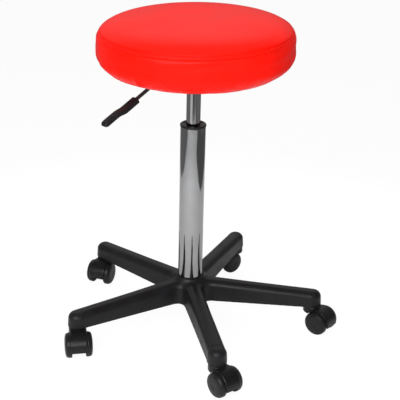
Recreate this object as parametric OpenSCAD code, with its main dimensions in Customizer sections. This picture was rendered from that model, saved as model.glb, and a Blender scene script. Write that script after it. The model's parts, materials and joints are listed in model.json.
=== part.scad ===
// Rolling stool: round padded seat on a gas column, five-arm base, twin-wheel casters.
// Millimetres, +Z up, floor at z = 0, column axis at x = y = 0.

/* [Seat] */
// Outside diameter of the cushion
seat_d = 378; // [350:2:400]
// Height of the cushion's top above the floor
seat_top = 650; // [630:1:670]
// Height of the seat board's underside above the floor
board_bottom = 562; // [562:1:566]
// Diameter of the plywood seat board
board_d = 320; // [300:5:330]
// Thickness of the plywood seat board
board_t = 15; // [12:1:16]

/* [Column] */
// Outside diameter of the chrome outer tube
sleeve_d = 50; // [48:1:52]
// Height of the outer tube's top edge
sleeve_top = 435.5; // [400:0.5:440]
// Outside diameter of the pressure tube that carries the seat
tube_d = 28; // [26:1:30]
// Diameter of the piston rod
rod_d = 10; // [8:1:10]

/* [Base] */
// Distance from the column axis to a caster stem
reach = 258; // [240:1:280]
// Turn of the front arm away from -Y, in degrees
base_turn = 12.3; // [0:0.1:20]
// Diameter of the hub's round top edge
hub_d = 62; // [60:1:70]
// Width of an arm at its foot edge
arm_w = 39; // [36:1:42]

/* [Casters] */
// Wheel diameter
wheel_d = 50; // [48:1:50]
// Overall width over both wheels
caster_w = 55.6; // [52:0.2:58]
// Distance from the stem axis back to the axle
trail = 25; // [24:0.5:27]
// Diameter of the caster stem
stem_d = 11; // [10:1:11]

/* [Lever] */
// Direction in which the lever points, from +X
lever_turn = 225; // [180:5:270]
// Slope of the lever's outer stretch below level, in degrees
lever_droop = 24; // [15:1:30]
// Diameter of the lever rod
lever_d = 7; // [6:0.5:7]

/* [Hidden] */
$fn = 64;
arms = 5;
arm_step = 360 / arms;
fit_gap = 0.05;
cut = 0.5;

// Rest directions of the casters (stem to axle), one per arm
caster_turns = [-53, -40, -140, -109, -80];

// Base levels
foot_z = 55;
housing_r = 18.8;
housing_top = 86;
housing_edge = 11;
hub_top = 107;
hub_foot_r = 44;
hub_bottom = 50;
boss_r = 33;
arm_top_hub = 101;
arm_top_tip = 85.5;
arm_top_w = 31;
arm_crown_h = 11;
arm_wall = 3.2;
arm_start = 20;
arm_tip_back = 6;
rib_t = 2.6;
rib_first = 88;
rib_step = 44;
rib_side = 1.7;
rib_lift = 3;
rib_below_top = 16;
under = 5;
ring_z = 62;
ring_grip_h = 10;
ring_wall = 0.5;
ring_slit = 1.5;

// Caster levels
wheel_r = wheel_d / 2;
stem_bottom = 41;
stem_top = 80;
neck_top = 54.4;
neck_r = 17.6;
neck_h = 16;
cheek_out = 13.2;
cheek_in = 9.6;
hood_room_r = 23;
hood_foot = 21;
axle_boss_r = 7.5;
flange_out = 2.5;
room_front = 7;
neck_front = 6;
fender_w = 35;
fender_r = 28.4;
fender_in = 25.9;
axle_d = 6;
wheel_gap = 13.8;
web_depth = 2;
web_r = 10;
tread_in_r = 20;
cap_r = 8;
axle_end = caster_w / 2 - 4.5;

// Column levels
sleeve_r = sleeve_d / 2;
sleeve_wall = 1.5;
sleeve_bottom = 48;
taper_drop = 1.6;
tube_r = tube_d / 2;
tube_wall = 1.5;
tube_bottom = 140;
tube_cone_z = 506;
tube_top = 540;
tube_cone_drop = 1.1;
rod_r = rod_d / 2;
rod_bottom = 45;
rod_top = 322;
groove_z = 48.2;
groove_h = 1.5;
groove_depth = 0.8;
plate_z = 50;
plate_t = 4;
washer_r = 16;
washer_in = 6;
washer_t = 2;
ball_r = 2.5;
ball_ring_r = 11;
balls = 9;
bearing_z = plate_z + plate_t;
collar_z = bearing_z + washer_t + 2 * ball_r + fit_gap;
collar_h = 4;
buffer_z = collar_z + collar_h;
buffer_h = 15;
buffer_r = 12;
cage_t = 1.2;
clip_r = 9;
piston_h = 12;
seal_lift = 4;
seal_h = 3;
seal_depth = 2.4;
guide_h = 20;
pin_r = 2.5;
pin_depth = 8;
pin_head_r = 3.6;
pin_head_lift = 3;
bush_h = 95;
ring_h = 4.6;
ring_r = 26;

// Seat levels
seat_r = seat_d / 2;
seat_mid = 587;
seat_low = 528.5;
top_power = 4.73;
low_power = 2.17;
tuck_z = 557.5;
hem_r = 128;
cover_t = 1.2;
plateau_r = 60;
seam_z = 625.8;
seam_half = 3.2;
board_r = board_d / 2;
plate_w = 140;
plate_corner = 12;
seat_plate_t = 3;
bolt_pitch = 110;
bolt_r = 3;
bolt_h = 26;
head_t = 4;
head_r = 5.5;
bolt_washer_r = 6.5;
bolt_washer_t = 1.6;
nut_r = 4.5;
nut_lift = 4;
flange_r = 9;
flange_t = 1.2;
foam_pocket_h = 9;
hem_z = board_bottom - 1;
cloth_in = 101;
cloth_out = 140;
cloth_t = 0.6;
staple_ring_r = 134;
staples_n = 24;
staple_w = 10;
staple_t = 0.8;
staple_leg = 8;

// Lever levels
plate_bottom = board_bottom - seat_plate_t;
lever_z = plate_bottom - 9.7;
lever_r = lever_d / 2;
pivot_x = 22;
pivot_r = 2;
tip_x = -6;
bend_x = 90;
collar_x = 148.7;
grip_end = 228.2;
grip_half_w = 8.2;
grip_half_t = 5.2;
grip_sink = -0.8;
grip_rise = 2.8;
grip_waist = 30;
grip_blade = 52;
grip_room = 14;
pin_clip_out = 1.8;
housing_w = 56;
housing_wall = 2.5;
housing_back = -40;
housing_front = 60;
housing_bottom = 530;
socket_r = 18;
socket_bottom = 506;
socket_top = 538;
slot_w = 8;

// ---------- outlines ----------

// Height of the cushion's outline at radius r, above (top) or below the widest level
function upper_z(r, rm, zt) =
    seat_mid + (zt - seat_mid) * pow(1 - pow(r / rm, top_power), 1 / top_power);

// Radius of the cushion's outline at height z, inset by t from the skin
function upper_r(z, t) =
    (seat_r - t) * pow(1 - pow((z - seat_mid) / (seat_top - t - seat_mid), top_power), 1 / top_power);
function lower_r(z, t) =
    (seat_r - t) * pow(1 - pow((seat_mid - z) / (seat_mid - seat_low - t), low_power), 1 / low_power);

// Outline points of the upper skin from the plateau out to height z_end
function upper_points(t, z_end) = concat(
    [[plateau_r, seat_top - t]],
    [for (a = [14:6:62])
        let (r = (seat_r - t) * sin(a), z = upper_z(r, seat_r - t, seat_top - t))
            if (r > plateau_r && z > z_end + 1) [r, z]],
    [for (z = [seat_top - t - 10:-5:z_end + 1]) [upper_r(z, t), z]],
    [[upper_r(z_end, t), z_end]]
);

// Outline points of the side skin from height z_start down to the tucked edge
function side_points(t, z_start) = concat(
    [for (s = [0:7]) let (z = z_start - (z_start - seat_mid) * s / 8) [upper_r(z, t), z]],
    [for (s = [0:8]) let (z = seat_mid - (seat_mid - tuck_z - t) * s / 8) [lower_r(z, t), z]]
);

function reversed(list) = [for (i = [len(list) - 1:-1:0]) list[i]];

// Half outline of an arm's section, from the foot edge up to the crown
function arm_section(h, inset) = let (
        half = arm_w / 2 - inset,
        top_half = arm_top_w / 2 - inset,
        top = h - inset,
        shoulder = top - arm_crown_h
    ) concat(
        [[half, 0]],
        [for (a = [0:30:180]) [top_half * cos(a), shoulder + arm_crown_h * sin(a)]],
        [[-half, 0]]
    );

module ring(r_out, r_in, h) {
    difference() {
        cylinder(r = r_out, h = h);
        translate([0, 0, -cut]) cylinder(r = r_in, h = h + 2 * cut);
    }
}

// Direction of arm k (1 to 5) from +X
function arm_angle(k) = -90 + base_turn + arm_step * (k - 1);

// Puts its children along every arm
module at_arms() {
    for (k = [1:arms])
        rotate([0, 0, arm_angle(k)])
            children();
}

// Puts its children at every caster stem
module at_stems() {
    at_arms()
        translate([reach, 0, 0])
            children();
}

// Puts its children at caster k, turned to its rest direction
module at_caster(k) {
    rotate([0, 0, arm_angle(k)])
        translate([reach, 0, 0])
            rotate([0, 0, caster_turns[k - 1] - arm_angle(k)])
                children();
}

// ---------- base ----------

// Outer (inset 0) or inner shape of one arm along +X, sloping down to its tip
module arm_bar(inset) {
    slope = atan((arm_top_hub - arm_top_tip) / reach);
    start = inset > 0 ? hub_foot_r + 2 : arm_start;
    end = inset > 0 ? reach - housing_r - arm_wall : reach - arm_tip_back;
    translate([start, 0, foot_z - under])
        rotate([0, slope, 0])
            rotate([90, 0, 90])
                linear_extrude(end - start)
                    polygon(arm_section(arm_top_hub - foot_z - start * tan(slope) + under, inset));
}

// Caster housing at an arm's tip, rounded at its top like the arm's crown
module housing_body() {
    arc_r = housing_r - housing_edge;
    arc_z = housing_top - housing_edge;
    rotate_extrude()
        polygon(concat(
            [[0, foot_z - under], [housing_r, foot_z - under], [housing_r, arc_z]],
            [for (a = [15:15:90]) [arc_r + housing_edge * cos(a), arc_z + housing_edge * sin(a)]],
            [[0, housing_top]]
        ));
}

module hub_body() {
    rotate_extrude()
        polygon([
            [0, foot_z - under], [hub_foot_r, foot_z - under], [hub_foot_r, arm_top_hub],
            [hub_d / 2, hub_top], [0, hub_top]
        ]);
}

// One moulding: hub, five hollow arms with cross ribs, caster housings and a foot boss
module star_base() {
    color("#27272a")
    difference() {
        union() {
            difference() {
                union() {
                    hub_body();
                    at_arms() arm_bar(0);
                    at_stems() housing_body();
                }
                at_arms() arm_bar(arm_wall);
                translate([0, 0, foot_z - 2 * under])
                    cube([4 * reach, 4 * reach, 4 * under], center = true);
            }
            at_arms()
                for (x = [rib_first:rib_step:rib_first + 3 * rib_step])
                    translate([x, rib_side - arm_w / 2, foot_z + rib_lift])
                        cube([rib_t, arm_w - 2 * rib_side, arm_top_tip - foot_z - rib_below_top]);
            translate([0, 0, hub_bottom]) cylinder(r = boss_r, h = 3 * under);
        }
        column_space(sleeve_bottom - cut, hub_top + cut);
        at_stems()
            translate([0, 0, foot_z - cut])
                cylinder(d = stem_d + 2 * ring_wall, h = stem_top + 1 - foot_z + cut);
    }
}

// Stem held in the base, with the shoulder that the caster's neck hangs from
module caster_stems() {
    r = stem_d / 2;
    shoulder_z = stem_bottom + flange_out;
    color("#8f9196")
    at_stems()
        rotate_extrude()
            polygon([
                [0, stem_bottom], [r + flange_out, stem_bottom], [r + flange_out, shoulder_z],
                [r, shoulder_z], [r, stem_top - 2], [r - 2, stem_top], [0, stem_top]
            ]);
}

// Split grip rings round the stems, inside the housings
module stem_rings() {
    color("#6d7076")
    at_stems()
        translate([0, 0, ring_z])
            difference() {
                ring(stem_d / 2 + ring_wall, stem_d / 2, ring_grip_h);
                translate([0, -ring_slit / 2, -cut]) cube([stem_d, ring_slit, ring_grip_h + 2 * cut]);
            }
}

// ---------- casters (stem axis at the origin, axle towards +X) ----------

module across(r, w) {
    translate([trail, 0, wheel_r]) rotate([90, 0, 0]) cylinder(r = r, h = w, center = true);
}

// Everything of the hood below the fender's foot, and below the neck in front of it
module hood_cuts() {
    translate([-2 * trail, -fender_w, -trail])
        cube([6 * trail, 2 * fender_w, hood_foot + trail]);
    translate([-2 * trail, -fender_w, -trail])
        cube([2 * trail + neck_front, 2 * fender_w, neck_top - neck_h + trail]);
}

// Fender band over two cheeks that hold the axle, with the neck that turns on the stem
module caster_hood(k) {
    pocket_h = 2 * wheel_r;
    stem_room_r = stem_d / 2 + flange_out + 0.5;
    color("#1d1d20")
    at_caster(k)
    difference() {
        union() {
            difference() {
                union() {
                    across(fender_r, fender_w);
                    translate([0, 0, neck_top - neck_h]) cylinder(r = neck_r, h = neck_h);
                }
                hood_cuts();
                for (s = [-1, 1])
                    translate([trail, s * (cheek_out + pocket_h / 2), wheel_r])
                        rotate([90, 0, 0])
                            cylinder(r = fender_in, h = pocket_h, center = true);
                intersection() {
                    across(hood_room_r, 2 * cheek_in);
                    translate([stem_d / 2 + room_front, -fender_w, -cut])
                        cube([3 * trail, 2 * fender_w, 3 * trail]);
                }
            }
            across(axle_boss_r, 2 * cheek_out);
        }
        translate([0, 0, hood_foot - cut])
            cylinder(r = stem_room_r, h = stem_bottom + flange_out + 0.1 - hood_foot + cut);
        translate([0, 0, hood_foot]) cylinder(r = stem_d / 2 + fit_gap, h = neck_top);
        across(axle_d / 2, fender_w);
    }
}

module caster_axle(k) {
    color("#9a9ca0")
    at_caster(k)
        across(axle_d / 2, 2 * axle_end);
}

// Wheel on the side s (+1 left of travel, -1 right): domed face with a ring step
module caster_wheel(k, s) {
    half = caster_w / 2;
    bore = axle_d / 2 + fit_gap;
    color("#1b1b1e")
    at_caster(k)
        translate([trail, 0, wheel_r])
            rotate([s > 0 ? -90 : 90, 0, 0])
                rotate_extrude()
                    polygon([
                        [bore, wheel_gap], [web_r, wheel_gap], [web_r, wheel_gap + web_depth],
                        [tread_in_r, wheel_gap + web_depth], [tread_in_r, wheel_gap],
                        [wheel_r - 1, wheel_gap], [wheel_r, wheel_gap + 1], [wheel_r, half - 8],
                        [wheel_r - 0.7, half - 5.2], [wheel_r - 2.4, half - 2.9],
                        [wheel_r - 4.6, half - 1.7], [wheel_r - 5.4, half - 2.3],
                        [wheel_r - 8, half - 1.0], [wheel_r - 13, half - 0.3], [cap_r, half],
                        [0, half], [0, axle_end + 0.3], [bore, axle_end + 0.3]
                    ]);
}

// ---------- gas column ----------

// Outer radius of the chrome tube at height z: its foot tapers into the hub
function sleeve_radius(z) = z >= hub_top ? sleeve_r
    : sleeve_r - taper_drop * (hub_top - z) / (hub_top - sleeve_bottom);

// The tapered room in the hub that the chrome tube fills
module column_space(z_low, z_high) {
    rotate_extrude()
        polygon([
            [0, z_low], [sleeve_radius(z_low), z_low], [sleeve_radius(hub_top), hub_top],
            [sleeve_radius(hub_top), z_high], [0, z_high]
        ]);
}

module outer_tube() {
    foot = sleeve_radius(sleeve_bottom);
    color("#b9bbbe")
    rotate_extrude()
        polygon([
            [foot - sleeve_wall, sleeve_bottom], [foot, sleeve_bottom], [sleeve_r, hub_top],
            [sleeve_r, sleeve_top], [sleeve_r - sleeve_wall, sleeve_top], [sleeve_r - sleeve_wall, hub_top]
        ]);
}

module end_plate() {
    r_low = sleeve_radius(plate_z) - sleeve_wall;
    r_high = sleeve_radius(plate_z + plate_t) - sleeve_wall;
    color("#85878b")
    translate([0, 0, plate_z])
        difference() {
            cylinder(r1 = r_low, r2 = r_high, h = plate_t);
            translate([0, 0, -cut]) cylinder(r = rod_r + fit_gap, h = plate_t + 2 * cut);
        }
}

module bearing_washer() {
    color("#a5a7ab")
    translate([0, 0, bearing_z]) ring(washer_r, washer_in, washer_t);
}

module bearing_balls() {
    color("#c9cbce")
    for (i = [0:balls - 1])
        rotate([0, 0, i * 360 / balls])
            translate([ball_ring_r, 0, bearing_z + washer_t + ball_r])
                sphere(r = ball_r);
}

module bearing_cage() {
    color("#a88a4c")
    translate([0, 0, bearing_z + washer_t + ball_r - cage_t / 2])
        difference() {
            ring(washer_r - 1, washer_in + 1, cage_t);
            for (i = [0:balls - 1])
                rotate([0, 0, i * 360 / balls])
                    translate([ball_ring_r, 0, -cut])
                        cylinder(r = ball_r + 0.1, h = cage_t + 2 * cut);
        }
}

// Upper bearing washer, pressed on the rod and turning with it
module thrust_collar() {
    color("#a5a7ab")
    translate([0, 0, collar_z]) ring(washer_r, rod_r, collar_h);
}

module rubber_buffer() {
    color("#1a1a1a")
    translate([0, 0, buffer_z]) ring(buffer_r, rod_r, buffer_h);
}

module piston_rod() {
    color("#d0d2d4")
    difference() {
        translate([0, 0, rod_bottom]) cylinder(r = rod_r, h = rod_top - rod_bottom);
        translate([0, 0, groove_z]) ring(rod_r + 2, rod_r - groove_depth, groove_h);
    }
}

module retaining_clip() {
    color("#6a6c70")
    translate([0, 0, groove_z])
        difference() {
            ring(clip_r, rod_r - groove_depth, groove_h);
            translate([0, -clip_r / 3, -cut]) cube([clip_r + 1, 2 * clip_r / 3, groove_h + 2 * cut]);
        }
}

module piston() {
    bore = tube_r - tube_wall;
    color("#8f9195")
    translate([0, 0, rod_top - piston_h])
        difference() {
            ring(bore - 0.4, rod_r, piston_h);
            translate([0, 0, seal_lift]) ring(tube_r, bore - seal_depth, seal_h);
        }
}

module piston_seal() {
    bore = tube_r - tube_wall;
    color("#151515")
    translate([0, 0, rod_top - piston_h + seal_lift]) ring(bore - fit_gap, bore - seal_depth, seal_h);
}

// Long plastic guide with the visible collar on top of the chrome tube
module guide_bush() {
    inner = tube_r + fit_gap;
    color("#202022")
    rotate_extrude()
        polygon([
            [inner, sleeve_top - bush_h], [sleeve_r - sleeve_wall, sleeve_top - bush_h],
            [sleeve_r - sleeve_wall, sleeve_top], [ring_r - 0.5, sleeve_top], [ring_r, sleeve_top + 0.8],
            [ring_r, sleeve_top + ring_h - 1.4], [ring_r - 1.2, sleeve_top + ring_h],
            [ring_r - 3, sleeve_top + ring_h - 0.2], [inner + 2, sleeve_top + ring_h - 2.4],
            [inner, sleeve_top + ring_h - 2.6]
        ]);
}

// Pressure tube with the cone that locks in the seat's socket
module pressure_tube() {
    bore = tube_r - tube_wall;
    color("#8d8f93")
    rotate_extrude()
        polygon([
            [bore, tube_bottom], [tube_r, tube_bottom], [tube_r, tube_cone_z],
            [tube_r - tube_cone_drop, tube_top], [bore - tube_cone_drop, tube_top], [bore, tube_cone_z]
        ]);
}

module rod_guide() {
    color("#2c2c30")
    translate([0, 0, tube_bottom]) ring(tube_r - tube_wall, rod_r + fit_gap, guide_h);
}

module valve_body() {
    bore = tube_r - tube_wall;
    height = tube_top - tube_cone_z;
    color("#9fa1a5")
    translate([0, 0, tube_cone_z])
        difference() {
            cylinder(r1 = bore, r2 = bore - tube_cone_drop, h = height);
            translate([0, 0, -cut]) cylinder(r = pin_r + fit_gap, h = height + 2 * cut);
        }
}

module release_pin() {
    pin_low = tube_cone_z + pin_depth;
    head_low = tube_top + pin_head_lift;
    pin_high = lever_z - lever_r - 0.4;
    color("#d0d2d4")
    union() {
        translate([0, 0, pin_low]) cylinder(r = pin_r, h = pin_high - pin_low);
        translate([0, 0, head_low]) cylinder(r = pin_head_r, h = pin_high - head_low);
    }
}

// ---------- seat mounting ----------

module socket_tube() {
    color("#3a3b3e")
    difference() {
        translate([0, 0, socket_bottom]) cylinder(r = socket_r, h = socket_top - socket_bottom);
        translate([0, 0, tube_cone_z])
            cylinder(r1 = tube_r, r2 = tube_r - tube_cone_drop, h = tube_top - tube_cone_z);
        translate([0, 0, socket_bottom - cut]) cylinder(r = tube_r, h = 2 * cut);
    }
}

// Pressed steel tray under the plate: carries the socket and the lever's pivot
module plate_housing() {
    length = housing_front - housing_back;
    height = plate_bottom - housing_bottom;
    wall = housing_wall;
    color("#3a3b3e")
    rotate([0, 0, lever_turn])
    difference() {
        translate([housing_back, -housing_w / 2, housing_bottom])
            cube([length, housing_w, height]);
        translate([housing_back + wall, wall - housing_w / 2, housing_bottom + wall])
            cube([length - 2 * wall, housing_w - 2 * wall, height]);
        translate([0, 0, housing_bottom - cut])
            cylinder(r = socket_r, h = wall + 2 * cut);
        translate([housing_front - wall - cut, -slot_w / 2, lever_z - lever_r - 0.6])
            cube([wall + 2 * cut, slot_w, height]);
        translate([pivot_x, 0, lever_z])
            rotate([90, 0, 0])
                cylinder(r = pivot_r, h = housing_w + 2 * cut, center = true);
    }
}

// Rounded square outline of the mounting plate
function plate_outline(w, r) = [
    for (c = [0:3]) for (a = [0:15:90])
        let (sx = (c == 0 || c == 3) ? 1 : -1, sy = c < 2 ? 1 : -1)
            [sx * (w / 2 - r) + r * cos(a + 90 * c), sy * (w / 2 - r) + r * sin(a + 90 * c)]
];

module at_bolts() {
    rotate([0, 0, lever_turn])
        for (x = [-1, 1], y = [-1, 1])
            translate([x * bolt_pitch / 2, y * bolt_pitch / 2, 0])
                children();
}

module seat_plate() {
    color("#3a3b3e")
    difference() {
        translate([0, 0, plate_bottom])
            rotate([0, 0, lever_turn])
                linear_extrude(seat_plate_t)
                    polygon(plate_outline(plate_w, plate_corner));
        at_bolts()
            translate([0, 0, plate_bottom - cut])
                cylinder(r = bolt_r + 0.5, h = seat_plate_t + 2 * cut);
    }
}

module plate_washers() {
    color("#a5a7ab")
    at_bolts()
        translate([0, 0, plate_bottom - bolt_washer_t])
            ring(bolt_washer_r, bolt_r + 0.2, bolt_washer_t);
}

module plate_bolts() {
    head_z = plate_bottom - bolt_washer_t - head_t;
    color("#a5a7ab")
    at_bolts()
        union() {
            translate([0, 0, head_z]) cylinder(r = head_r, h = head_t, $fn = 6);
            translate([0, 0, head_z + 1]) cylinder(r = bolt_r, h = bolt_h);
        }
}

module t_nuts() {
    top = board_bottom + board_t;
    color("#b8a878")
    at_bolts()
        difference() {
            union() {
                translate([0, 0, board_bottom + nut_lift]) cylinder(r = nut_r, h = board_t - nut_lift);
                translate([0, 0, top]) cylinder(r = flange_r, h = flange_t);
            }
            translate([0, 0, board_bottom]) cylinder(r = bolt_r, h = board_t + 5);
        }
}

module seat_board() {
    color("#c29a62")
    difference() {
        translate([0, 0, board_bottom]) cylinder(r = board_r, h = board_t, $fn = 96);
        at_bolts() translate([0, 0, board_bottom - cut]) cylinder(r = nut_r, h = board_t + 2 * cut);
    }
}

// ---------- cushion ----------

// Foam block over and round the board
module foam_pad() {
    inset = cover_t + 0.2;
    board_room = board_r + 0.2;
    floor_z = board_bottom + board_t + 0.1;
    color("#e8d9a8")
    difference() {
        rotate_extrude()
            polygon(concat(
                [[0, seat_top - inset]],
                upper_points(inset, seam_z),
                side_points(inset, seam_z - 1),
                [[board_room, tuck_z + inset + 2], [board_room, floor_z], [0, floor_z]]
            ));
        at_bolts()
            translate([0, 0, board_bottom + board_t])
                cylinder(r = flange_r + 1.5, h = foam_pocket_h);
    }
}

module cover_top() {
    color("#e62417")
    rotate_extrude()
        polygon(concat(
            [[0, seat_top]], upper_points(0, seam_z),
            reversed(upper_points(cover_t, seam_z)), [[0, seat_top - cover_t]]
        ));
}

// Side panel, pulled round the foam's lower edge and stapled under the board
module cover_side() {
    outer = side_points(0, seam_z - 0.05);
    inner = side_points(cover_t, seam_z - 0.05);
    color("#e0160c")
    rotate_extrude()
        polygon(concat(
            outer, [[board_r - 5, hem_z - 1.6], [board_r - 12, hem_z], [hem_r, hem_z]],
            [[hem_r, board_bottom - 0.05], [board_r - 1, board_bottom - 0.05]],
            reversed(inner)
        ));
}

// Felled overlap of the two panels, lying on the cushion's shoulder
module seam_band() {
    color("#e0160c")
    rotate_extrude()
        polygon(concat(
            [for (z = [seam_z - seam_half:seam_half / 2:seam_z + seam_half]) [upper_r(z, 0) + 0.9, z]],
            [for (z = [seam_z + seam_half:-seam_half / 2:seam_z - seam_half]) [upper_r(z, 0) + 0.05, z]]
        ));
}

module seam_threads() {
    color("#c81208")
    for (s = [-1, 1])
        let (z = seam_z + s * (seam_half - 0.7))
            rotate_extrude() translate([upper_r(z, 0) + 1.25, z]) circle(r = 0.3, $fn = 16);
}

module dust_cloth() {
    color("#161616")
    translate([0, 0, hem_z - cloth_t]) ring(cloth_out, cloth_in, cloth_t);
}

// Wire staples through the cloth and the hem into the board
module staples() {
    color("#b0b2b5")
    for (i = [0:staples_n - 1])
        rotate([0, 0, i * 360 / staples_n])
            translate([staple_ring_r - staple_t / 2, 0, hem_z - cloth_t - staple_t])
                union() {
                    translate([0, -staple_w / 2, 0]) cube([staple_t, staple_w, staple_t]);
                    translate([0, -staple_w / 2, 0]) cube([staple_t, staple_t, staple_leg]);
                    translate([0, staple_w / 2 - staple_t, 0]) cube([staple_t, staple_t, staple_leg]);
                }
}

// ---------- lever (along +X before it is turned) ----------

module pivot_pin() {
    color("#b0b2b5")
    rotate([0, 0, lever_turn])
        translate([pivot_x, 0, lever_z])
            rotate([90, 0, 0])
                union() {
                    cylinder(r = pivot_r, h = housing_w + 5, center = true);
                    translate([0, 0, housing_w / 2]) cylinder(r = pivot_r + 2, h = 2.5);
                }
}

module pivot_clip() {
    color("#6a6c70")
    rotate([0, 0, lever_turn])
        translate([pivot_x, housing_w / 2 + pin_clip_out, lever_z])
            rotate([90, 0, 0])
                ring(pivot_r + 2.2, pivot_r, 1);
}

module lever_rod() {
    reach_out = grip_end - bend_x - grip_room;
    color("#1c1c1e")
    rotate([0, 0, lever_turn])
    difference() {
        union() {
            translate([tip_x, 0, lever_z]) rotate([0, 90, 0]) cylinder(r = lever_r, h = bend_x - tip_x);
            translate([bend_x, 0, lever_z]) sphere(r = lever_r);
            translate([bend_x, 0, lever_z])
                rotate([0, 90 + lever_droop, 0])
                    cylinder(r = lever_r, h = reach_out / cos(lever_droop));
        }
        translate([pivot_x, 0, lever_z])
            rotate([90, 0, 0])
                cylinder(r = pivot_r + fit_gap, h = 4 * lever_r, center = true);
    }
}

// One round lump of the grip's blade, x along it and z above the rod's line
module grip_lump(x, z, shrink) {
    translate([x, 0, z])
        scale([1, 1, grip_half_t / grip_half_w])
            sphere(r = grip_half_w - shrink, $fn = 24);
}

// Paddle grip along the drooping stretch: square collar, straight neck, then a raised blade
module lever_grip() {
    length = (grip_end - collar_x) / cos(lever_droop);
    color("#17171a")
    rotate([0, 0, lever_turn])
        translate([bend_x, 0, lever_z])
            rotate([0, lever_droop, 0])
                translate([(collar_x - bend_x) / cos(lever_droop), 0, 0]) {
                    hull() {
                        translate([1, -grip_half_w, grip_sink - grip_half_t])
                            cube([3, 2 * grip_half_w, 2 * grip_half_t]);
                        grip_lump(grip_waist, grip_sink, 0);
                    }
                    hull() {
                        grip_lump(grip_waist, grip_sink, 0);
                        grip_lump(grip_blade, grip_rise, 0);
                    }
                    hull() {
                        grip_lump(grip_blade, grip_rise, 0);
                        grip_lump(length - grip_half_w, grip_rise, 0.5);
                    }
                }
}

star_base();
caster_stems();
stem_rings();
for (k = [1:arms]) {
    caster_hood(k);
    caster_axle(k);
    caster_wheel(k, 1);
    caster_wheel(k, -1);
}
outer_tube();
end_plate();
bearing_washer();
bearing_balls();
bearing_cage();
guide_bush();
thrust_collar();
rubber_buffer();
piston_rod();
piston();
piston_seal();
retaining_clip();
pressure_tube();
rod_guide();
valve_body();
release_pin();
socket_tube();
plate_housing();
seat_plate();
plate_bolts();
plate_washers();
t_nuts();
seat_board();
foam_pad();
cover_top();
cover_side();
seam_band();
seam_threads();
dust_cloth();
staples();
pivot_pin();
pivot_clip();
lever_rod();
lever_grip();
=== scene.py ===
import json
from math import atan2, cos, hypot, pi, radians, sin, tan

import bmesh
import bpy
import numpy as np
from mathutils import Matrix, Vector
from mathutils.bvhtree import BVHTree


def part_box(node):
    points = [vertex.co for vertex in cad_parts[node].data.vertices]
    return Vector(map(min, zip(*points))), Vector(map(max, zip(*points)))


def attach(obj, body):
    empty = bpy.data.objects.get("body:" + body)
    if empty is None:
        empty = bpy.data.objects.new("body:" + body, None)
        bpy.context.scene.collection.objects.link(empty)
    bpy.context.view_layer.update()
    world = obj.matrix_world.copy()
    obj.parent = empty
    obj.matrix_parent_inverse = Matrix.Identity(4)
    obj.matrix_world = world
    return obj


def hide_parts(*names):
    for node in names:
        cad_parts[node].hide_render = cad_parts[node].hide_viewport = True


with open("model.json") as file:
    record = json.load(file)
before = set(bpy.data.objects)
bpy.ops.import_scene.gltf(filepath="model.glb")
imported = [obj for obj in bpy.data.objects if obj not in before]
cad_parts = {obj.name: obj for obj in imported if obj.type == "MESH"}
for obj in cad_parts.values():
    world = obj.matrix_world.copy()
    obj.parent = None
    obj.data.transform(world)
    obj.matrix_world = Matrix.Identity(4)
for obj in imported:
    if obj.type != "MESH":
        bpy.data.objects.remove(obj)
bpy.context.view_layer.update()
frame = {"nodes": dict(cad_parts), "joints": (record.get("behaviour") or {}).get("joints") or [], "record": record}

# Looks of the rolling stool, in metres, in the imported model's frame (floor at z = 0,
# column axis at x = y = 0, +Y away from the viewer).

MM = 0.001
JOINTS = {joint["name"]: joint for joint in frame["joints"]}
ARMS = 5


def lowest(node):
    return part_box(node)[0]


def highest(node):
    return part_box(node)[1]


# ---------------------------------------------------------------- materials

def find_node(tree, kind):
    return next(node for node in tree.nodes if node.type == kind)


def new_material(name):
    paint = bpy.data.materials.new(name)
    paint.use_nodes = True
    tree = paint.node_tree
    return paint, tree, find_node(tree, "BSDF_PRINCIPLED")


def add_node(tree, kind, **inputs):
    node = tree.nodes.new(kind)
    for key, value in inputs.items():
        node.inputs[key.replace("_", " ")].default_value = value
    return node


def noise(tree, place, scale, detail=3.0, stretch=(1, 1, 1)):
    """Noise in the piece's own coordinates, with scale in waves per metre."""
    mapping = add_node(tree, "ShaderNodeMapping")
    mapping.inputs["Scale"].default_value = stretch
    texture = add_node(tree, "ShaderNodeTexNoise", Scale=scale, Detail=detail)
    tree.links.new(place.outputs["Object"], mapping.inputs["Vector"])
    tree.links.new(mapping.outputs["Vector"], texture.inputs["Vector"])
    return texture.outputs["Fac"]


def cells(tree, place, scale, feature="F1"):
    """Voronoi cells in the piece's own coordinates."""
    texture = add_node(tree, "ShaderNodeTexVoronoi", Scale=scale)
    texture.feature = feature
    tree.links.new(place.outputs["Object"], texture.inputs["Vector"])
    return texture.outputs["Distance"]


def spread(tree, value, low, high, start=0.3, end=0.7):
    """A value from a texture, mapped to the range low to high."""
    node = add_node(tree, "ShaderNodeMapRange")
    node.inputs["From Min"].default_value = start
    node.inputs["From Max"].default_value = end
    node.inputs["To Min"].default_value = low
    node.inputs["To Max"].default_value = high
    tree.links.new(value, node.inputs["Value"])
    return node.outputs["Result"]


def math_node(tree, operation, *values):
    """A sum or product of plain numbers and other nodes' values."""
    node = add_node(tree, "ShaderNodeMath")
    node.operation = operation
    for socket, value in zip(node.inputs, values):
        if isinstance(value, float):
            socket.default_value = value
        else:
            tree.links.new(value, socket)
    return node.outputs[0]


def two_tone(tree, value, dark, light, start=0.3, end=0.7):
    """Colour between dark and light by a texture's value."""
    ramp = tree.nodes.new("ShaderNodeValToRGB")
    ramp.color_ramp.elements[0].position = start
    ramp.color_ramp.elements[1].position = end
    ramp.color_ramp.elements[0].color = (*dark, 1)
    ramp.color_ramp.elements[1].color = (*light, 1)
    tree.links.new(value, ramp.inputs["Fac"])
    return ramp.outputs["Color"]


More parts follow.
